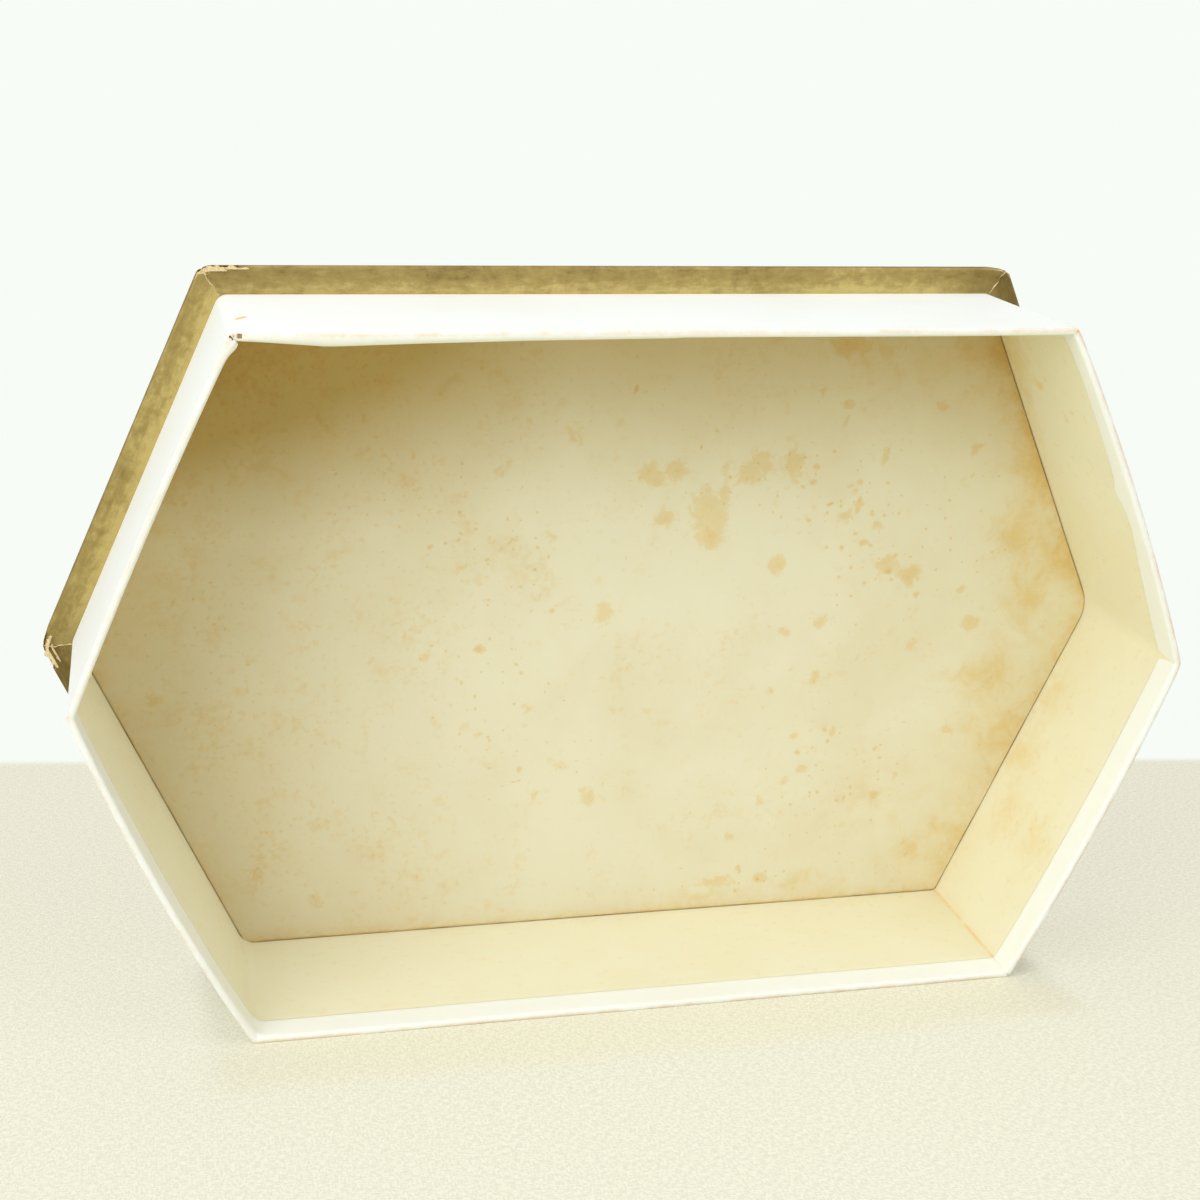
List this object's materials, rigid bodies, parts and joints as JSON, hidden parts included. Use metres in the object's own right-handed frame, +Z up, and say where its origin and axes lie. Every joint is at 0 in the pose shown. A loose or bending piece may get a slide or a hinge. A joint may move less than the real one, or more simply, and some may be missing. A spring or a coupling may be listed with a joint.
{
  "type": "chocolate box",
  "caption": "Open hexagonal chocolate box tray, white paper-covered walls on a wider gold-covered plate, lined inside, standing on one long side.",
  "frame": {"origin": "middle of the object's bounding box in plan, on the table it stands on", "axes": "+X along the box's length, to the right as seen from its open front; +Y from the open front towards the plate; +Z up"},
  "size_m": [0.3154, 0.084, 0.2011],
  "materials": {
    "greyboard": "matte chipboard",
    "gold_paper": "metallic gold cover paper, dulled with age",
    "stay_tape": "gummed kraft tape",
    "cream_paper": "matte lining paper",
    "aged_card": "foxed matte card",
    "white_paper": "coated cover paper"
  },
  "bodies": {
    "root": {"base_board": "greyboard", "base_cover_paper": "gold_paper", "floor_board": "greyboard", "wall_board_upper_right": "greyboard", "wall_board_top": "greyboard", "wall_board_upper_left": "greyboard", "wall_board_lower_left": "greyboard", "wall_board_bottom": "greyboard", "wall_board_lower_right": "greyboard", "corner_stay_right": "stay_tape", "corner_stay_top_right": "stay_tape", "corner_stay_top_left": "stay_tape", "corner_stay_left": "stay_tape", "corner_stay_bottom_left": "stay_tape", "corner_stay_bottom_right": "stay_tape", "wall_lining_paper": "cream_paper", "floor_card": "aged_card", "wall_cover_paper": "white_paper"}
  },
  "joints": []
}
